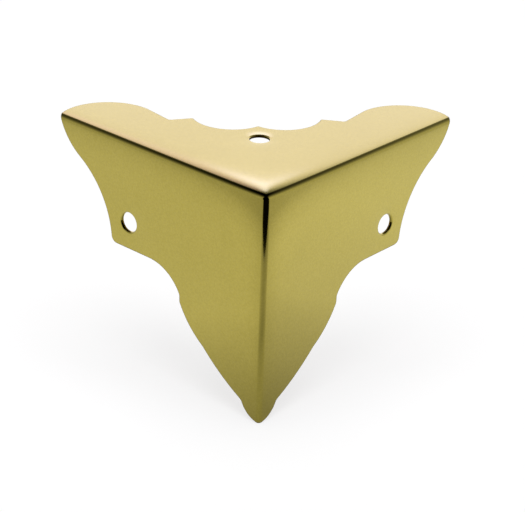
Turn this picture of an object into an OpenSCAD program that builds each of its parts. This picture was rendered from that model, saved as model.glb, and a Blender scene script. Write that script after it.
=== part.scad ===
// Decorative brass corner for a case or trunk: one pressed sheet over three faces,
// with a ball corner, scalloped edges and one screw hole in each face.
// The case fills x < 0, y > 0, z < 0, and its own corner point is the origin.
// Outline sizes are measured from the sharp outer corner of the fitting.

/* [Sheet] */
// Thickness of the brass sheet
sheet_t = 0.6; // [0.4:0.05:0.7]
// Outer radius of the three bends and of the ball corner
bend_r = 0.8; // [0.75:0.05:1.6]

/* [Legs] */
// Length of each top leg along its bend
leg_len = 48.7; // [46:0.1:54]
// Length of the upright leg where its faces leave the bend
drop_len = 42; // [41:0.5:46]
// Lean of a top leg's end across its bend, towards the top face
end_lean = 0.45; // [0.2:0.05:0.45]
// Slope by which the upright leg comes to a point at its fold
foot_lean = 0.38; // [0.1:0.02:0.4]

/* [Screw holes] */
// Diameter of each screw hole
hole_d = 3.5; // [2.5:0.1:4.5]
// Radius of the rolled-in rim of each hole
rim_r = 0.35; // [0.1:0.05:0.38]
// Side hole, distance along the leg
side_hole_u = 31.5; // [28:0.5:32]
// Side hole, distance below the top
side_hole_w = 15.1; // [12:0.1:16]
// Top hole, distance from each of the two top bends
top_hole_a = 17.1; // [12:0.1:17.5]

/* [Side outline] */
// Radius of the round end of a leg
tip_r = 11.5; // [9:0.5:16]
// Turn from the round end into the hollow, back from the leg's end
turn_in = 5; // [4.4:0.1:6]
// Turn from the round end into the hollow, below the top
turn_w = 6.4; // [6:0.1:7]
// Radius of the hollow
hollow_r = 16.7; // [14:0.1:24]
// Outer edge of the screw lug, along the leg
lug_u = 35.8; // [35:0.1:38]
// Lower edge of the screw lug, below the top
lug_w = 20.1; // [19.5:0.1:21]
// Rounding of the lug's corner
lug_r = 1.2; // [0.4:0.1:2]
// Turn from the lug's lower edge into the scallop, along the leg
scallop_u = 26.4; // [25:0.1:28]
// Radius of the scallop between the lug and the upright leg
scallop_r = 8.2; // [7:0.1:12]
// Step at the foot of the scallop, from the upright bend
step_u = 19.1; // [18:0.1:20]
// Lower corner of the step, below the top
step_w = 25.8; // [25:0.1:27]
// Height of the step
step_h = 1.3; // [0.5:0.1:1.8]
// Radius of the upper flank, below the step
flank_r = 17; // [12:0.5:30]
// Notch between the upper and lower flank, from the upright bend
notch_u = 13.4; // [12.5:0.1:14]
// Notch between the upper and lower flank, below the top
notch_w = 32.3; // [31.6:0.1:33]
// Radius of the lower flank
lower_r = 40; // [25:1:80]
// Shoulder above the rounded foot, from the upright bend
shoulder_u = 4.2; // [3.6:0.1:5]
// Height of the rounded foot below its shoulder
foot_h = 3; // [2.5:0.1:4]
// Radius of the rounded foot
foot_r = 5; // [4.5:0.1:8]

/* [Top outline] */
// Radius of the round end of a leg
lobe_r = 9.1; // [8.2:0.1:11]
// Turn from the round end into the straight inner edge, back from the leg's end
lobe_in = 8.7; // [7:0.1:10]
// Turn from the round end into the straight inner edge, across the leg
lobe_b = 12.9; // [12.5:0.1:13.4]
// Inner corner at the root of the round end, along the leg
nook_a = 33.7; // [33:0.1:35]
// Inner corner at the root of the round end, across the leg
nook_b = 12; // [11:0.1:12.4]
// Cusp between the inner corner and the bay, along the leg
cusp_a = 31.2; // [30:0.1:32.5]
// Cusp between the inner corner and the bay, across the leg
cusp_b = 15.3; // [14:0.1:15.8]
// Radius of the bay beside the top hole
bay_r = 6.9; // [6.5:0.1:12]
// Nose on the diagonal behind the top hole, from each top bend
nose_a = 21.1; // [20:0.1:22]
// Rounding of the cusps and the nose
corner_r = 0.4; // [0.1:0.05:0.5]

/* [Hidden] */
$fn = 64;
// Angle between neighbouring points of a drawn arc, in degrees
arc_step = 4;
// Angle at which a hole's rolled rim leaves the face, in degrees
rim_lift = 15;
// Overlap by which cuts run past a face
past = 1;
// Size of the blocks that cut the leg ends, larger than the part
reach = leg_len + drop_len;
inner_r = bend_r - sheet_t;
hole_r = hole_d / 2;
rim_depth = rim_r * cos(rim_lift);
brass = [0.72, 0.62, 0.3];

// Points of the arc from a to b with radius r, without b itself.
// A positive radius swells to the right of the way from a to b, a negative one hollows it.
function arc(a, b, r) =
    let (
        chord = norm(b - a),
        along = (b - a) / chord,
        out = [along[1], -along[0]] * sign(r),
        half = asin(chord / 2 / abs(r)),
        centre = (a + b) / 2 - out * abs(r) * cos(half),
        steps = max(2, ceil(2 * half / arc_step))
    )
    [for (i = [0 : steps - 1])
        let (turn = half * (2 * i / steps - 1))
        centre + abs(r) * (out * cos(turn) + along * sin(turn))];

// Points that round the corner c, which is reached from a and left towards b.
function rounded(a, c, b, r) =
    let (
        to_a = (a - c) / norm(a - c),
        to_b = (b - c) / norm(b - c),
        back = r / tan(acos(to_a * to_b) / 2)
    )
    [each arc(c + to_a * back, c + to_b * back, r), c + to_b * back];

function tail(points) = [for (i = [1 : len(points) - 1]) points[i]];
function last(points) = points[len(points) - 1];
function swapped(points) = [for (i = [len(points) - 1 : -1 : 0]) [points[i][1], points[i][0]]];

// Outline of a side face: u along the top leg, w down the upright leg.
tip_at = [leg_len - end_lean * bend_r, bend_r];
turn_at = [leg_len - turn_in, turn_w];
lug_top = [lug_u, lug_w - lug_r];
lug_low = [lug_u - lug_r, lug_w];
scallop_at = [scallop_u, lug_w];
step_top = [step_u, step_w - step_h];
step_low = [step_u, step_w];
notch_at = [notch_u, notch_w];
shoulder_at = [shoulder_u, drop_len - foot_h];
foot_at = [bend_r, drop_len];
side_outline = [
    [bend_r, bend_r],
    each arc(tip_at, turn_at, tip_r),
    each arc(turn_at, lug_top, -hollow_r),
    each arc(lug_top, lug_low, lug_r),
    lug_low,
    each arc(scallop_at, step_top, -scallop_r),
    step_top,
    each arc(step_low, notch_at, flank_r),
    each arc(notch_at, shoulder_at, lower_r),
    each arc(shoulder_at, foot_at, foot_r),
    foot_at
];

// Outline of the top face: one half, which the diagonal mirrors.
end_at = [leg_len + end_lean * bend_r, bend_r];
lobe_at = [leg_len - lobe_in, lobe_b];
nook_at = [nook_a, nook_b];
cusp_at = [cusp_a, cusp_b];
nose_at = [nose_a, nose_a];
bay = tail(arc(cusp_at, nose_at, -bay_r));
top_half = [
    each arc(end_at, lobe_at, lobe_r),
    lobe_at,
    nook_at,
    each rounded(nook_at, cusp_at, bay[0], corner_r),
    each bay
];
top_outline = [
    [bend_r, bend_r],
    each top_half,
    each rounded(last(top_half), nose_at, swapped(top_half)[0], corner_r),
    each swapped(top_half)
];

// Quarter of the bent sheet's section, in the corner of its two outer faces
module bend_section() {
    intersection() {
        translate([bend_r, bend_r])
            difference() {
                circle(bend_r);
                circle(inner_r);
            }
        translate([-past, -past])
            square(bend_r + past);
    }
}

// Bend along the first axis, from the ball corner to the given length
module bend(length) {
    translate([bend_r, 0, 0])
        rotate([90, 0, 90])
            linear_extrude(length - bend_r)
                bend_section();
}

// Eighth of a hollow ball where the three bends meet
module ball_corner() {
    translate([bend_r, bend_r, bend_r])
        rotate(180)
            rotate_extrude(angle = 90)
                intersection() {
                    difference() {
                        circle(bend_r);
                        circle(inner_r);
                    }
                    translate([0, -bend_r - past])
                        square(bend_r + past);
                }
}

// Screw hole through a face at z = 0, with its rim rolled into the sheet
module screw_hole() {
    rotate_extrude() {
        difference() {
            translate([0, -past])
                square([hole_r + rim_r, past + rim_depth]);
            translate([hole_r + rim_r, rim_depth])
                circle(rim_r);
        }
        translate([0, rim_depth])
            square([hole_r, sheet_t - rim_depth + past]);
    }
}

// Space beyond the leaning end of the leg along the first axis
module leg_end() {
    translate([leg_len, 0, 0])
        rotate([0, -atan(end_lean / norm([1, end_lean])), -atan(end_lean)])
            translate([0, -reach, -reach])
                cube(2 * reach);
}

// Space below the pointed end of the upright leg
module foot_end() {
    translate([0, 0, drop_len + foot_lean * bend_r])
        rotate(atan(norm([foot_lean, foot_lean])), [-1, 1, 0])
            translate([-reach, -reach, 0])
                cube(2 * reach);
}

// Top bend and side face, on the side of the first axis
module side_half() {
    bend(leg_len + end_lean * bend_r + past);
    translate([0, sheet_t, 0])
        rotate([90, 0, 0])
            linear_extrude(sheet_t)
                polygon(side_outline);
}

module side_hole() {
    translate([side_hole_u, 0, side_hole_w])
        rotate([-90, 0, 0])
            screw_hole();
}

// The whole sheet, with the case's three edges along the positive axes
module pressed_sheet() {
    difference() {
        union() {
            linear_extrude(sheet_t)
                polygon(top_outline);
            side_half();
            mirror([1, -1, 0])
                side_half();
            mirror([1, 0, -1])
                bend(drop_len + foot_lean * bend_r + past);
            ball_corner();
        }
        translate([top_hole_a, top_hole_a, 0])
            screw_hole();
        side_hole();
        mirror([1, -1, 0])
            side_hole();
        leg_end();
        mirror([1, -1, 0])
            leg_end();
        foot_end();
    }
}

module corner_plate() {
    color(brass)
        translate([sheet_t, -sheet_t, sheet_t])
            rotate([0, 180, 0])
                pressed_sheet();
}

corner_plate();
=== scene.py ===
import math

import bpy
import numpy as np
from mathutils import Matrix, Vector
from mathutils.geometry import delaunay_2d_cdt


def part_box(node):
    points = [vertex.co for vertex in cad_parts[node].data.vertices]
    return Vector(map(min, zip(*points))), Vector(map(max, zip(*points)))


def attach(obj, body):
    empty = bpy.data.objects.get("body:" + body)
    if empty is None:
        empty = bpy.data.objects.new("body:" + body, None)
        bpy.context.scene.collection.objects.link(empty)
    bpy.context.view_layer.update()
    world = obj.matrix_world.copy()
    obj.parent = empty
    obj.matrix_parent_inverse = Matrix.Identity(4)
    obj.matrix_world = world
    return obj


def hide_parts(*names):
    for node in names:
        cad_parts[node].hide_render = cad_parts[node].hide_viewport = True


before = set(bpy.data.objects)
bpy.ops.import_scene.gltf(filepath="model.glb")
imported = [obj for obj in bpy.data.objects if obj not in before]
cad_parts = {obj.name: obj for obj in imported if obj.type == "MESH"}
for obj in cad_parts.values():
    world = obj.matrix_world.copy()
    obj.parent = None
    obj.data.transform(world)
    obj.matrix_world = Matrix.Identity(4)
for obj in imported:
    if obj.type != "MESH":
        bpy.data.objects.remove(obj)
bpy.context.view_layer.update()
print("frame loaded:", sorted(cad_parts))

mm = 0.001
scene = bpy.context.scene
scene.view_settings.view_transform = "Standard"


def hexToLinear(code):
    # sRGB hex to the linear colour that the shaders take
    parts = [int(code[i:i + 2], 16) / 255 for i in (1, 3, 5)]
    return [c / 12.92 if c <= 0.04045 else ((c + 0.055) / 1.055) ** 2.4 for c in parts] + [1]


def addNode(tree, kind, settings=None, inputs=None):
    # one node with its settings; an input takes a plain value or another node's output
    node = tree.nodes.new(kind)
    for name, value in (settings or {}).items():
        setattr(node, name, value)
    for name, value in (inputs or {}).items():
        if isinstance(value, bpy.types.NodeSocket):
            tree.links.new(value, node.inputs[name])
        else:
            node.inputs[name].default_value = value
    return node


# The pressed brass sheet. Sizes in mm, measured from its sharp outer corner
plate = {
    "sheet": 0.6,           # thickness
    "bend": 0.8,            # outer radius of the bends and of the ball corner
    "leg": 48.7,            # top leg along its bend
    "lean": 0.45,           # lean of a leg's end across the bend
    "drop": 42.0,           # upright leg along its bend
    "footLean": 0.38,       # slope by which it comes to a point at the fold
    "holeD": 3.5,           # screw holes
    "sideRim": (0.38, 0.5),     # how far and how deep a hole's rim is rolled in
    "topRim": (0.2, 0.16),
    "sideHole": (31.5, 15.1),
    "topHole": (17.1, 17.1),
    "cutRound": 0.14,       # rounding that the punch leaves on the outer edge
    "burrRound": 0.06,      # the sharper inner edge
    "cornerEase": 2,        # smoothing passes, which ease the corners of the cut
    "traceStep": 0.1,       # of the points while a cut is drawn
    "spacing": 0.22,        # of the points along the finished edge
    "grid": 0.5,            # of the points inside a face
    "gridClear": 0.55,      # share of the grid by which they keep off the edge
    "bendSteps": 16,        # rows of faces across a bend, a cut edge, a hole's rim and its inner edge
    "edgeSteps": 4,
    "rimSteps": 8,
    "burrSteps": 3,
    "holePoints": 72,
    # where the press draws the faces in: slope, reach, more reach at the corner, how far along that lasts
    "topDraw": (0.17, 1.2, 0.7, 9),     # top face towards its two bends
    "sideDraw": (0.10, 0.8, 3.4, 9),    # side faces towards the top
    "foldDraw": (0.13, 2.0, 0.8, 9),    # side faces towards the upright bend
    "drawFade": 6.0,                    # depth in the part at which the draw has faded
    "drawPower": 4,                     # rounds the top's draw where its two bends meet
    "holeDraw": (0.08, 1.2),            # the punch dishes the sheet round a hole: depth, reach
}

# Side cut: along the leg, below the top. Each stretch ends at a point, with a radius that
# swells when positive, hollows when negative and is straight at 0
sideCut = [
    ((plate["leg"] - 5.0, 6.4), 11.5),    # round end of the leg
    ((35.8, 18.9), -16.7),  # hollow above the lug
    ((34.6, 20.1), 1.2),    # lug's corner
    ((26.4, 20.1), 0),      # lug's lower edge
    ((19.1, 24.5), -8.2),   # scallop
    ((19.1, 25.8), 0),      # step
    ((13.4, 32.3), 17),     # upper flank
    ((4.2, 39.0), 40),      # lower flank
    ((plate["bend"], plate["drop"]), 5),  # rounded foot
]

# Top cut, one half: along the leg, across it. The diagonal mirrors it
topCut = [
    ((plate["leg"] - 8.7, 12.9), 9.1),    # round end of the leg
    ((33.7, 12.0), 0),      # straight inner edge
    ((31.4, 15.6), 0),      # cusp
    ((21.1, 21.1), -6.9),   # bay, up to the nose behind the hole
]


def tracePath(start, moves):
    # points of a cut edge, from its start along straight and round stretches
    points = [Vector(start)]
    for end, radius in moves:
        a, b = points[-1], Vector(end)
        chord = (b - a).length
        along = (b - a) / chord
        count = max(2, math.ceil(chord / plate["traceStep"]))
        if radius == 0:
            points += [a.lerp(b, i / count) for i in range(1, count + 1)]
            continue
        out = Vector((along.y, -along.x)) * math.copysign(1, radius)
        half = math.asin(chord / 2 / abs(radius))
        centre = (a + b) / 2 - out * abs(radius) * math.cos(half)
        for i in range(1, count + 1):
            turn = half * (2 * i / count - 1)
            points.append(centre + abs(radius) * (out * math.cos(turn) + along * math.sin(turn)))
    return points


def spacedEvenly(points, spacing):
    # the same path with its points at one spacing
    lengths = [(b - a).length for a, b in zip(points, points[1:])]
    count = round(sum(lengths) / spacing)
    step = sum(lengths) / count
    even, travelled, target = [points[0]], 0, step
    for a, b, length in zip(points, points[1:], lengths):
        while target < travelled + length and len(even) < count:
            even.append(a.lerp(b, (target - travelled) / length))
            target += step
        travelled += length
    return even + [points[-1]]


def eased(points, passes):
    # rounds the corners a little, as a worn punch does
    for _ in range(passes):
        middle = [(a + 2 * b + c) / 4 for a, b, c in zip(points, points[1:], points[2:])]
        points = [points[0], *middle, points[-1]]
    return points


def inwardWays(points):
    # direction into the sheet at each point of a cut edge
    leastMitre = 0.5  # keeps a sharp corner from running far in
    ways = []
    for a, b, c in zip(points, points[1:], points[2:]):
        before, after = (b - a).normalized(), (c - b).normalized()
        along = (before + after).normalized()
        ways.append(Vector((-along.y, along.x)) / max(leastMitre, along.dot(before)))
    return [Vector((-1, 0)), *ways, Vector((0, -1))]


class SheetMesh:
    # collects points with their normals in case space: p and q along the top legs, r down
    def __init__(self):
        self.places, self.normals, self.faces, self.finish, self.known = [], [], [], [], {}

    def point(self, place, normal):
        key = tuple(round(c, 4) for c in place)
        if key not in self.known:
            self.known[key] = len(self.places)
            self.places.append(Vector(place))
            self.normals.append(Vector(normal).normalized())
        return self.known[key]

    def face(self, corners, finish):
        corners = list(dict.fromkeys(corners))
        if len(corners) < 3:
            return
        a, b, c = (self.places[corners[i]] for i in (0, 1, -1))
        facing = sum((self.normals[i] for i in corners), Vector((0, 0, 0)))
        if (b - a).cross(c - a).dot(facing) < 0:
            corners.reverse()
        self.faces.append(corners)
        self.finish.append(finish)

    def strip(self, rows, finish):
        # quads between neighbouring rows of points
        for low, high in zip(rows, rows[1:]):
            for i in range(len(low) - 1):
                self.face([low[i], low[i + 1], high[i + 1], high[i]], finish)


sheet, bend = plate["sheet"], plate["bend"]
outside, cutEdge, inside = 0, 1, 2  # finishes
flats = {
    # how a face's own coordinates and depth lie in case space, and its outward normal
    "top": (lambda a, b, d: (a, b, d), Vector((0, 0, -1))),
    "front": (lambda a, b, d: (a, d, b), Vector((0, -1, 0))),
    "right": (lambda a, b, d: (d, a, b), Vector((-1, 0, 0))),
}


def quarter(steps):
    # angles of a quarter turn
    return [math.pi / 2 * i / steps for i in range(steps + 1)]


def edgeProfile(roundOut, roundIn, steps):
    # way round a cut edge: how far in, how deep, and the normal's tilt from face to wall to back
    outer = [(roundOut * (1 - math.sin(t)), roundOut * (1 - math.cos(t)), t) for t in quarter(steps)]
    return outer + burrProfile(roundIn, steps)


def burrProfile(roundIn, steps):
    # its inner end, from wall to back
    return [(roundIn * (1 - math.cos(t)), sheet - roundIn * (1 - math.sin(t)), math.pi / 2 + t)
            for t in quarter(steps)]


def holeProfile(width, depth, roundIn):
    # the same for a hole, whose rim is rolled in over a quarter of an ellipse
    rows = [(width * (1 - math.sin(t)), depth * (1 - math.cos(t)),
             math.atan2(depth * math.sin(t), width * math.cos(t))) for t in quarter(plate["rimSteps"])]
    return rows + burrProfile(roundIn, plate["burrSteps"])


def fillFace(mesh, place, normal, ring, hole, holeRing, depth, finish):
    # triangles inside a face's outline and round its hole
    lineA = [Vector((s, bend)) for s in stations(ring[0].x)]
    lineB = [Vector((bend, s)) for s in stations(ring[-1].y)]
    outline = lineA + ring + lineB[:0:-1]
    holePoints = [hole + holeRing * Vector((math.cos(t), math.sin(t))) for t in holeAngles]
    loops = [(0, len(outline)), (len(outline), len(holePoints))]
    edges = [(start + i, start + (i + 1) % count) for start, count in loops for i in range(count)]
    fixed = outline + holePoints
    reach = max(max(v.x, v.y) for v in ring)
    clear = plate["gridClear"] * plate["grid"]
    inner = []
    for a in stations(reach)[1:]:
        for b in stations(reach)[1:]:
            spot = Vector((a, b))
            if min((spot - v).length_squared for v in fixed) > clear ** 2:
                if (spot - hole).length > holeRing and insideLoop(spot, outline):
                    inner.append(spot)
    insideOnly, together = 1, 1e-6  # keep what the outline holds, merge points closer than this
    openHole = 0.99                 # share of the hole in which a triangle's middle is left out
    verts, _, tris, *_ = delaunay_2d_cdt(fixed + inner, edges, [], insideOnly, together)
    ids = [mesh.point(place(v.x, v.y, depth), normal) for v in verts]
    for tri in tris:
        middle = sum((verts[i] for i in tri), Vector((0, 0))) / 3
        if (middle - hole).length > holeRing * openHole:
            mesh.face([ids[i] for i in tri], finish)


def stations(end):
    # places along a bend, from the ball corner to at least half a step before the end
    count = int((end - bend) / plate["grid"] - 0.5)
    return [bend + i * plate["grid"] for i in range(count + 1)]


def insideLoop(spot, loop):
    crossings = 0
    for a, b in zip(loop, loop[1:] + loop[:1]):
        if (a.y > spot.y) != (b.y > spot.y):
            crossings += spot.x < a.x + (spot.y - a.y) / (b.y - a.y) * (b.x - a.x)
    return crossings % 2 == 1


holeAngles = [2 * math.pi * i / plate["holePoints"] for i in range(plate["holePoints"])]
bendAngles = quarter(plate["bendSteps"])
rimRows = edgeProfile(plate["cutRound"], plate["burrRound"], plate["edgeSteps"])


def legEnd(turn):
    # end of a leg across its bend, which leans towards the top
    return plate["leg"] + plate["lean"] * bend * (math.cos(turn) - math.sin(turn))


def footEnd(turn):
    # end of the upright leg, which comes to a point at its fold
    return plate["drop"] + plate["footLean"] * bend * (math.cos(turn) + math.sin(turn) - 1)


def buildFlat(mesh, name, start, moves, hole, rim):
    # one face of the sheet, inside and out, with its cut edge and its screw hole
    place, normal = flats[name]
    path = eased(spacedEvenly(tracePath(start, moves), plate["spacing"]), plate["cornerEase"])
    ways = inwardWays(path)
    hole = Vector(hole)
    holeR = plate["holeD"] / 2
    for depth, inset, ring, finish in ((0, plate["cutRound"], rim[0], outside),
                                       (sheet, plate["burrRound"], plate["burrRound"], inside)):
        edge = [p + w * inset for p, w in zip(path, ways)]
        fillFace(mesh, place, normal if finish == outside else -normal, edge, hole, holeR + ring,
                 depth, finish)
    rows = []
    for inset, depth, tilt in rimRows:
        row = []
        for p, w in zip(path, ways):
            out = -Vector(place(w.x, w.y, 0)).normalized()
            spot = p + w * inset
            facing = normal * math.cos(tilt) + out * math.sin(tilt)
            row.append(mesh.point(place(spot.x, spot.y, depth), facing))
        rows.append(row)
    mesh.strip(rows, cutEdge)
    rows = []
    for inset, depth, tilt in holeProfile(*rim, plate["burrRound"]):
        row = []
        for t in holeAngles:
            way = Vector((math.cos(t), math.sin(t)))
            spot = hole + way * (holeR + inset)
            facing = normal * math.cos(tilt) - Vector(place(way.x, way.y, 0)) * math.sin(tilt)
            row.append(mesh.point(place(spot.x, spot.y, depth), facing))
        rows.append(row + row[:1])
    mesh.strip(rows[:plate["rimSteps"] + 1], outside)
    mesh.strip(rows[plate["rimSteps"]:], cutEdge)


def bendPoint(mesh, axes, s, turn, depth, normal=None):
    # a point on the bend along the first axis, turning from the second axis's face to the third's
    along, fromFace, toFace = axes
    place, way = Vector((0, 0, 0)), Vector((0, 0, 0))
    place[along] = s
    place[fromFace] = bend - (bend - depth) * math.cos(turn)
    place[toFace] = bend - (bend - depth) * math.sin(turn)
    way[fromFace], way[toFace] = -math.cos(turn), -math.sin(turn)
    return mesh.point(place, way if normal is None else normal(way))


def buildBend(mesh, axes, endAt):
    # one bend, inside and out, with its cut end
    forward = Vector([1 if i == axes[0] else 0 for i in range(3)])
    for depth, inset, finish, sign in ((0, plate["cutRound"], outside, 1),
                                       (sheet, plate["burrRound"], inside, -1)):
        rows = []
        for turn in bendAngles:
            ends = stations(min(endAt(t) for t in (0, math.pi / 2)) - inset)
            if turn in (bendAngles[0], bendAngles[-1]):
                ends = stations(endAt(turn) - inset)
            row = [bendPoint(mesh, axes, s, turn, depth, lambda w: sign * w) for s in ends]
            row.append(bendPoint(mesh, axes, endAt(turn) - inset, turn, depth, lambda w: sign * w))
            rows.append(row)
        shortest = min(len(row) for row in rows)
        mesh.strip([row[:shortest - 1] for row in rows], finish)
        for low, high in zip(rows, rows[1:]):
            mesh.face(low[shortest - 2:] + high[shortest - 2:][::-1], finish)
    rows = []
    for inset, depth, tilt in rimRows:
        rows.append([bendPoint(mesh, axes, endAt(turn) - inset, turn, depth,
                               lambda w: w * math.cos(tilt) + forward * math.sin(tilt))
                     for turn in bendAngles])
    mesh.strip(rows, cutEdge)


def buildBall(mesh):
    # eighth of a hollow ball, in rows that share their points with the three bends
    steps = plate["bendSteps"]
    for depth, finish, sign in ((0, outside, 1), (sheet, inside, -1)):
        rows = []
        for i in range(steps + 1):
            row = []
            for j in range(steps + 1 - i):
                k = steps - i - j
                way = Vector([math.sin(math.pi / 2 * n / steps) for n in (i, j, k)]).normalized()
                row.append(mesh.point(Vector((bend, bend, bend)) - way * (bend - depth), -way * sign))
            rows.append(row)
        for low, high in zip(rows, rows[1:]):
            for n in range(len(high)):
                mesh.face([low[n], low[n + 1], high[n]], finish)
                if n + 1 < len(high):
                    mesh.face([low[n + 1], high[n + 1], high[n]], finish)


def sinks(across, along, draw):
    # depth to which a face is drawn in at a distance across from a bend
    slope, reach, more, far = draw
    reach = reach + more * np.exp(-along / far)
    return slope * reach * np.exp(-across / reach)


def pressed(spots):
    # the sheet after the press: faces drawn in towards the bends and dished round the holes
    p, q, r = spots.T
    power = plate["drawPower"]
    top = (sinks(q, p, plate["topDraw"]) ** power + sinks(p, q, plate["topDraw"]) ** power) ** (1 / power)
    front = sinks(r, p, plate["sideDraw"]) + sinks(p, r, plate["foldDraw"])
    right = sinks(r, q, plate["sideDraw"]) + sinks(q, r, plate["foldDraw"])
    moves = []
    depth, reach = plate["holeDraw"]
    for across, sunk, u, v, hole in ((p, right, q, r, plate["sideHole"]),
                                     (q, front, p, r, plate["sideHole"]),
                                     (r, top, p, q, plate["topHole"])):
        fromRim = np.maximum(np.hypot(u - hole[0], v - hole[1]) - plate["holeD"] / 2, 0)
        dish = depth * np.exp(-fromRim / reach) * np.clip(1 - across / sheet, 0, 1)
        moves.append(sunk * np.exp(-across / plate["drawFade"]) + dish)
    return spots + np.stack(moves, axis=1)


def pressedNormals(spots, normals):
    # normals follow the pressed form by the change that each axis makes there
    step = 0.01
    columns = [(pressed(spots + step * axis) - pressed(spots - step * axis)) / (2 * step)
               for axis in np.eye(3)]
    turned = np.linalg.solve(np.stack(columns, axis=1), normals[..., None])[..., 0]
    return turned / np.linalg.norm(turned, axis=1, keepdims=True)


def buildPlate():
    mesh = SheetMesh()
    sideStart = (legEnd(math.pi / 2), bend)
    topStart = (legEnd(0), bend)
    half = tracePath(topStart, topCut)
    mirrored = [((b, a), 0) for a, b in half[-2::-1]]
    topMoves = topCut + mirrored
    buildFlat(mesh, "front", sideStart, sideCut, plate["sideHole"], plate["sideRim"])
    buildFlat(mesh, "right", sideStart, sideCut, plate["sideHole"], plate["sideRim"])
    buildFlat(mesh, "top", topStart, topMoves, plate["topHole"], plate["topRim"])
    buildBend(mesh, (0, 2, 1), legEnd)
    buildBend(mesh, (1, 2, 0), legEnd)
    buildBend(mesh, (2, 1, 0), footEnd)
    buildBall(mesh)
    flatSpots, flatWays = np.array(mesh.places), np.array(mesh.normals)
    outward = np.array((-1, 1, -1))
    spots = (pressed(flatSpots) - sheet) * outward * mm  # from case space into the part's frame
    ways = pressedNormals(flatSpots, flatWays) * outward
    data = bpy.data.meshes.new("brassSheet")
    data.from_pydata(spots, [], mesh.faces)
    data.polygons.foreach_set("material_index", mesh.finish)
    data.polygons.foreach_set("use_smooth", [True] * len(mesh.faces))
    data.update()
    data.normals_split_custom_set_from_vertices(ways)
    piece = bpy.data.objects.new("brass_corner", data)
    scene.collection.objects.link(piece)
    return piece


corner = buildPlate()
print("brass sheet:", len(corner.data.vertices), "points,", len(corner.data.polygons), "faces")


def newMaterial(name):
    material = bpy.data.materials.new(name)
    material.use_nodes = True
    material.node_tree.nodes.clear()
    return material, material.node_tree


def polishedBrass():
    # brass sheet, buffed and dipped in clear lacquer: olive gold, clear reflections under a thin gloss
    look = {
        "light": "#C0B049",
        "dark": "#B0A139",
        "cloudMm": 7,           # slow change of tone across a face
        "grainMm": 0.35,        # satin left by buffing, coarser than real so that it shows
        "grainSpread": (0.3, 0.7),  # part of the noise's range that is used
        "grainShare": 0.6,
        "roughness": (0.07, 0.13),
        "bumpMm": 0.0012,
        "coat": (0.75, 0.05),       # the lacquer: weight, roughness
        "hazeMm": (0.42, 0.56),     # on the top its wear scatters light, from these heights up
        "bareShare": (1.0, 0.7),    # share of light that the metal gets below and above them
    }
    material, tree = newMaterial("buffed lacquered brass")
    coords = addNode(tree, "ShaderNodeTexCoord")
    cloud = addNode(tree, "ShaderNodeTexNoise", {}, {
        "Vector": coords.outputs["Object"], "Scale": 1 / (look["cloudMm"] * mm), "Detail": 3})
    grain = addNode(tree, "ShaderNodeTexNoise", {}, {
        "Vector": coords.outputs["Object"], "Scale": 1 / (look["grainMm"] * mm), "Detail": 2})
    speckle = addNode(tree, "ShaderNodeMapRange", {}, {
        "Value": grain.outputs["Fac"], "From Min": look["grainSpread"][0],
        "From Max": look["grainSpread"][1]})
    mottle = addNode(tree, "ShaderNodeMix", {}, {
        "Factor": look["grainShare"], 2: cloud.outputs["Fac"], 3: speckle.outputs["Result"]})
    tint = addNode(tree, "ShaderNodeMix", {"data_type": "RGBA"}, {
        "Factor": mottle.outputs[0], 6: hexToLinear(look["dark"]), 7: hexToLinear(look["light"])})
    rough = addNode(tree, "ShaderNodeMapRange", {}, {
        "Value": grain.outputs["Fac"], "To Min": look["roughness"][0], "To Max": look["roughness"][1]})
    bump = addNode(tree, "ShaderNodeBump", {}, {
        "Height": grain.outputs["Fac"], "Strength": 1.0, "Distance": look["bumpMm"] * mm})
    height = addNode(tree, "ShaderNodeSeparateXYZ", {}, {0: coords.outputs["Object"]})
    metal = addNode(tree, "ShaderNodeMapRange", {}, {
        "Value": height.outputs["Z"],
        "From Min": look["hazeMm"][0] * mm, "From Max": look["hazeMm"][1] * mm,
        "To Min": look["bareShare"][0], "To Max": look["bareShare"][1]})
    shader = addNode(tree, "ShaderNodeBsdfPrincipled", {}, {
        "Base Color": tint.outputs[2], "Metallic": metal.outputs["Result"],
        "Roughness": rough.outputs["Result"], "Normal": bump.outputs["Normal"],
        "Coat Weight": look["coat"][0], "Coat Roughness": look["coat"][1]})
    addNode(tree, "ShaderNodeOutputMaterial", {}, {"Surface": shader.outputs["BSDF"]})
    return material


def shearedBrass():
    # cut edge of the sheet: bare brass torn by the punch, dull, its colour painted dark brown as shade for
    # the dark room that these walls mirror
    look = {"light": "#6A5826", "dark": "#241B0B", "tearMm": 0.12, "roughness": 0.5, "bumpMm": 0.01}
    material, tree = newMaterial("sheared brass painted dark")
    coords = addNode(tree, "ShaderNodeTexCoord")
    tear = addNode(tree, "ShaderNodeTexNoise", {}, {
        "Vector": coords.outputs["Object"], "Scale": 1 / (look["tearMm"] * mm), "Detail": 3})
    # painted shade: the dark brown stands for the dark room that the cut faces mirror
    tint = addNode(tree, "ShaderNodeMix", {"data_type": "RGBA"}, {
        "Factor": tear.outputs["Fac"], 6: hexToLinear(look["dark"]), 7: hexToLinear(look["light"])})
    bump = addNode(tree, "ShaderNodeBump", {}, {
        "Height": tear.outputs["Fac"], "Strength": 1.0, "Distance": look["bumpMm"] * mm})
    shader = addNode(tree, "ShaderNodeBsdfPrincipled", {}, {
        "Base Color": tint.outputs[2], "Metallic": 1.0, "Roughness": look["roughness"],
        "Normal": bump.outputs["Normal"]})
    addNode(tree, "ShaderNodeOutputMaterial", {}, {"Surface": shader.outputs["BSDF"]})
    return material


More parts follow.
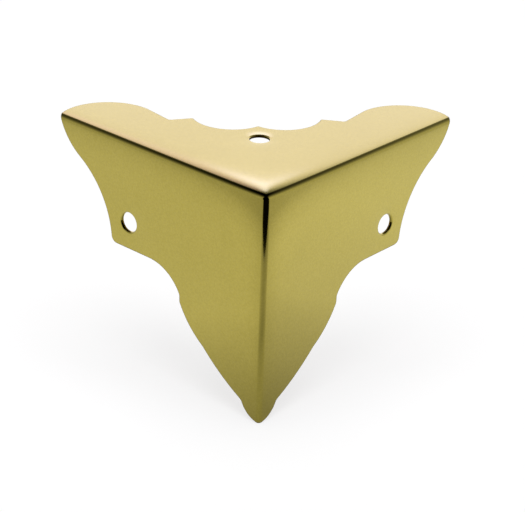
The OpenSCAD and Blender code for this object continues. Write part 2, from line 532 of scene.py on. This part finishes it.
def rolledBrass():
    # inside of the sheet as the rolling mill left it: bare, satin, with brown tarnish in clouds
    look = {"light": "#B39C50", "dark": "#8D7636", "cloudMm": 5, "lineMm": 0.25,
            "roughness": (0.34, 0.5), "bumpMm": 0.003}
    material, tree = newMaterial("mill-rolled bare brass")
    coords = addNode(tree, "ShaderNodeTexCoord")
    cloud = addNode(tree, "ShaderNodeTexNoise", {}, {
        "Vector": coords.outputs["Object"], "Scale": 1 / (look["cloudMm"] * mm), "Detail": 5})
    tint = addNode(tree, "ShaderNodeMix", {"data_type": "RGBA"}, {
        "Factor": cloud.outputs["Fac"], 6: hexToLinear(look["dark"]), 7: hexToLinear(look["light"])})
    grain = addNode(tree, "ShaderNodeTexNoise", {}, {
        "Vector": coords.outputs["Object"], "Scale": 1 / (look["lineMm"] * mm), "Detail": 2})
    rough = addNode(tree, "ShaderNodeMapRange", {}, {
        "Value": cloud.outputs["Fac"], "To Min": look["roughness"][0], "To Max": look["roughness"][1]})
    bump = addNode(tree, "ShaderNodeBump", {}, {
        "Height": grain.outputs["Fac"], "Strength": 1.0, "Distance": look["bumpMm"] * mm})
    shader = addNode(tree, "ShaderNodeBsdfPrincipled", {}, {
        "Base Color": tint.outputs[2], "Metallic": 1.0, "Roughness": rough.outputs["Result"],
        "Normal": bump.outputs["Normal"]})
    addNode(tree, "ShaderNodeOutputMaterial", {}, {"Surface": shader.outputs["BSDF"]})
    return material


for finish in (polishedBrass, shearedBrass, rolledBrass):  # in the order outside, cutEdge, inside
    corner.data.materials.append(finish())
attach(corner, "root")
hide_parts("corner_plate")
print("brass finished")

# Camera: the photograph's own view, solved from the three bends and the mirrored outline
view = {
    "azimuth": 41.31,
    "elevation": 26.43,
    "roll": 1.98,
    "focalPixels": 1700,
    "frame": (525, 512),
    "cornerPixel": (266.92, 197.55),  # where the sharp outer corner shows
    "pixelsPerMm": 6.36,              # at that corner
    "sensorMm": 36,
    "clip": (0.01, 50),
}


def placeCamera():
    azimuth, elevation, roll = (math.radians(view[k]) for k in ("azimuth", "elevation", "roll"))
    back = Vector((math.sin(azimuth) * math.cos(elevation),
                   -math.cos(azimuth) * math.cos(elevation), math.sin(elevation)))
    level = Vector((math.cos(azimuth), math.sin(azimuth), 0))
    rise = back.cross(level)
    right = level * math.cos(roll) + rise * math.sin(roll)
    up = rise * math.cos(roll) - level * math.sin(roll)
    width, height = view["frame"]
    cornerX, cornerY = view["cornerPixel"]
    outerCorner = Vector((sheet, -sheet, sheet))
    fromCorner = (right * (width / 2 - cornerX) + up * (cornerY - height / 2)
                  + back * view["focalPixels"]) / view["pixelsPerMm"]
    data = bpy.data.cameras.new("camera")
    data.sensor_width = view["sensorMm"]
    data.lens = view["focalPixels"] / width * data.sensor_width
    data.clip_start, data.clip_end = view["clip"]
    camera = bpy.data.objects.new("camera", data)
    turn = Matrix((right, up, back)).transposed().to_4x4()
    camera.matrix_world = Matrix.Translation((outerCorner + fromCorner) * mm) @ turn
    scene.collection.objects.link(camera)
    scene.camera = camera


placeCamera()
print("camera placed")

# Studio: white paper, which shows the brass a painted pool of light with painted shade round the foot and
# in front and painted dark past its front edge; a soft light behind the part, a dark room in front of it
studio = {
    "paperMm": 3000,
    "footShadowAt": (3, 3, 0),                # middle of the painted shadow round the foot
    "paperWays": {                      # level directions on the paper
        "ahead": (0.751, -0.66, 0),     # the way that the upright bend mirrors
        "right": (0.66, 0.751, 0),
        "edge": (0.676, -0.737, 0),     # across the front edge of the painted dark
        "leftFace": (0, -1.08, 0),      # out of the part's sides, longer where the painted pool of light fades sooner
        "rightFace": (1.25, 0, 0),
    },
    "paintedPaperTones": {
        # painted light and shade on the paper, as the brass sees it: what is measured, from and to in mm,
        # tone at each end
        "paintedLightRight": ("right", 40, 90, 0.85, 1.0),  # painted light, brighter to the right
        "pool": ("sides", 62, 100, 1.0, 0.69),      # painted pool of light, dimmer away from the part's sides
        "foot": ("foot", 0, 44, 0.47, 1.0),         # painted shadow round its foot
        "paintedShadeAhead": ("foot", 8, 32, 0, 0.5),        # painted shade straight in front
        "edge": ("edge", 66, 70, 1.0, 0.01),        # past the front edge the paper is painted dark
        "wings": ("wings", 10, 40, 0, 1.0),         # that painted dark, but not to the left and right
    },
    "paperWhite": 0.75,                 # share of the paper that glows as it is seen: plain white to the camera, its painted light and shade to glossy and transmission rays; the rest takes the shadow
    "roomWays": {"front": (0.66, -0.751, 0), "right": (0.751, 0.66, 0), "up": (0, 0, 1)},
    "roomLights": [
        # colour, then ramps that multiply: direction, from, to, strength at each end
        ("#FFFFFF", [("front", 0.4, 0.6, 0.57, 0), ("up", 0.2, 0.85, 1, 0),
                     ("right", 0.1, 0.6, 1, 1.15)]),        # walls at both sides, dimming upwards
        ("#FEF2FF", [("front", -0.65, -0.4, 0.98, 0), ("up", 0.43, 0.57, 1, 0)]),  # soft light behind
        ("#B4B5FF", [("front", -0.65, -0.4, 2.25, 0), ("up", 0.40, 0.45, 0, 1), ("up", 0.53, 0.60, 1, 0),
                     ("right", -0.06, -0.01, 0, 1), ("right", 0, 0.05, 1, 0)]),    # cool glow above it
        ("#C070FF", [("front", -0.65, -0.4, 0.36, 0), ("up", 0.40, 0.45, 0, 1), ("up", 0.53, 0.61, 1, 0),
                     ("right", -0.06, -0.01, 1, 0)]),       # rosy glow to the left of that
    ],
    "overhead": 0.86,                   # soft lamp above, which lights the paper
    "overheadAngle": 50,
}


def makeFloor():
    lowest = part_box("corner_plate")[0].z
    half = studio["paperMm"] * mm / 2
    data = bpy.data.meshes.new("paper")
    data.from_pydata([(-half, -half, lowest), (half, -half, lowest), (half, half, lowest),
                      (-half, half, lowest)], [], [(0, 1, 2, 3)])
    floor = bpy.data.objects.new("paper_floor", data)
    scene.collection.objects.link(floor)
    data.materials.append(paintedLightPaper())


def paintedLightPaper():
    # smooth pressed paper: plain white to the camera, and to the brass a painted pool of light with painted
    # shade at its ends
    material, tree = newMaterial("paper with painted light")
    spot = addNode(tree, "ShaderNodeTexCoord").outputs["Object"]
    path = addNode(tree, "ShaderNodeLightPath")
    measures = {name: addNode(tree, "ShaderNodeVectorMath", {"operation": "DOT_PRODUCT"}, {
        0: spot, 1: way}).outputs["Value"] for name, way in studio["paperWays"].items()}
    measures["sides"] = addNode(tree, "ShaderNodeMath", {"operation": "MAXIMUM"}, {
        0: measures["leftFace"], 1: measures["rightFace"]}).outputs[0]
    sideways = addNode(tree, "ShaderNodeMath", {"operation": "ABSOLUTE"}, {0: measures["right"]})
    measures["wings"] = addNode(tree, "ShaderNodeMath", {"operation": "SUBTRACT"}, {
        0: sideways.outputs[0], 1: measures["ahead"]}).outputs[0]
    level = addNode(tree, "ShaderNodeVectorMath", {"operation": "MULTIPLY"}, {0: spot, 1: (1, 1, 0)})
    # distance from the middle of the painted shadow round the foot
    fromFoot = addNode(tree, "ShaderNodeVectorMath", {"operation": "SUBTRACT"}, {
        0: level.outputs[0], 1: Vector(studio["footShadowAt"]) * mm})
    measures["foot"] = addNode(tree, "ShaderNodeVectorMath", {"operation": "LENGTH"}, {
        0: fromFoot.outputs[0]}).outputs["Value"]
    tones = {}
    for name, (measure, start, end, first, last) in studio["paintedPaperTones"].items():
        tones[name] = addNode(tree, "ShaderNodeMapRange", {}, {
            "Value": measures[measure], "From Min": start * mm, "From Max": end * mm,
            "To Min": first, "To Max": last}).outputs["Result"]
    # the painted shade in front is full straight ahead and none at right angles to it
    way = addNode(tree, "ShaderNodeVectorMath", {"operation": "NORMALIZE"}, {0: level.outputs[0]})
    facing = addNode(tree, "ShaderNodeVectorMath", {"operation": "DOT_PRODUCT"}, {
        0: way.outputs[0], 1: studio["paperWays"]["ahead"]})
    faced = addNode(tree, "ShaderNodeMath", {"operation": "MAXIMUM"}, {0: facing.outputs["Value"], 1: 0})
    loss = addNode(tree, "ShaderNodeMath", {"operation": "MULTIPLY"}, {
        0: faced.outputs[0], 1: tones["paintedShadeAhead"]})
    left = addNode(tree, "ShaderNodeMath", {"operation": "SUBTRACT"}, {0: 1, 1: loss.outputs[0]})
    # painted light and shade that the brass mirrors on the paper, from the tones above
    shade = addNode(tree, "ShaderNodeMath", {"operation": "MAXIMUM"}, {0: tones["edge"], 1: tones["wings"]})
    for tone in (tones["paintedLightRight"], tones["pool"], tones["foot"], left.outputs[0]):
        shade = addNode(tree, "ShaderNodeMath", {"operation": "MULTIPLY"}, {0: shade.outputs[0], 1: tone})
    seen = path.outputs["Is Camera Ray"]
    shown = addNode(tree, "ShaderNodeMath", {"operation": "MAXIMUM"}, {0: shade.outputs[0], 1: seen})
    for ray in ("Is Glossy Ray", "Is Transmission Ray"):  # metal shows the same paper
        seen = addNode(tree, "ShaderNodeMath", {"operation": "MAXIMUM"}, {
            0: seen, 1: path.outputs[ray]}).outputs[0]
    white = addNode(tree, "ShaderNodeMath", {"operation": "MULTIPLY"}, {0: seen, 1: studio["paperWhite"]})
    diffuse = addNode(tree, "ShaderNodeBsdfDiffuse", {}, {"Color": shown.outputs[0]})
    glow = addNode(tree, "ShaderNodeEmission", {}, {"Color": shown.outputs[0], "Strength": 1.0})
    mixed = addNode(tree, "ShaderNodeMixShader", {}, {
        0: white.outputs[0], 1: diffuse.outputs[0], 2: glow.outputs[0]})
    addNode(tree, "ShaderNodeOutputMaterial", {}, {"Surface": mixed.outputs[0]})
    return material


def lightRoom():
    world = bpy.data.worlds.new("studio")
    world.use_nodes = True
    scene.world = world
    tree = world.node_tree
    tree.nodes.clear()
    direction = addNode(tree, "ShaderNodeTexCoord").outputs["Generated"]
    seen = addNode(tree, "ShaderNodeLightPath").outputs["Is Camera Ray"]
    ways = {name: addNode(tree, "ShaderNodeVectorMath", {"operation": "DOT_PRODUCT"}, {
        0: direction, 1: way}).outputs["Value"] for name, way in studio["roomWays"].items()}
    room = None
    for tint, ramps in studio["roomLights"]:
        strength = 1
        for way, start, end, first, last in ramps:
            ramp = addNode(tree, "ShaderNodeMapRange", {"interpolation_type": "SMOOTHSTEP"}, {
                "Value": ways[way], "From Min": start, "From Max": end, "To Min": first, "To Max": last})
            strength = addNode(tree, "ShaderNodeMath", {"operation": "MULTIPLY"}, {
                0: strength, 1: ramp.outputs[0]}).outputs[0]
        light = addNode(tree, "ShaderNodeBackground", {}, {
            "Color": hexToLinear(tint), "Strength": strength})
        if room is not None:
            light = addNode(tree, "ShaderNodeAddShader", {}, {0: room.outputs[0], 1: light.outputs[0]})
        room = light
    white = addNode(tree, "ShaderNodeBackground", {}, {"Color": (1, 1, 1, 1), "Strength": 1.0})
    shown = addNode(tree, "ShaderNodeMixShader", {}, {0: seen, 1: room.outputs[0], 2: white.outputs[0]})
    addNode(tree, "ShaderNodeOutputWorld", {}, {"Surface": shown.outputs[0]})
    lamp = bpy.data.lights.new("overhead softbox", "SUN")
    lamp.angle = math.radians(studio["overheadAngle"])
    lamp.energy = studio["overhead"] * math.pi  # at 1 it lights white paper to plain white
    softbox = bpy.data.objects.new("overhead softbox", lamp)
    softbox.visible_glossy = False
    scene.collection.objects.link(softbox)


makeFloor()
lightRoom()
print("studio lit")
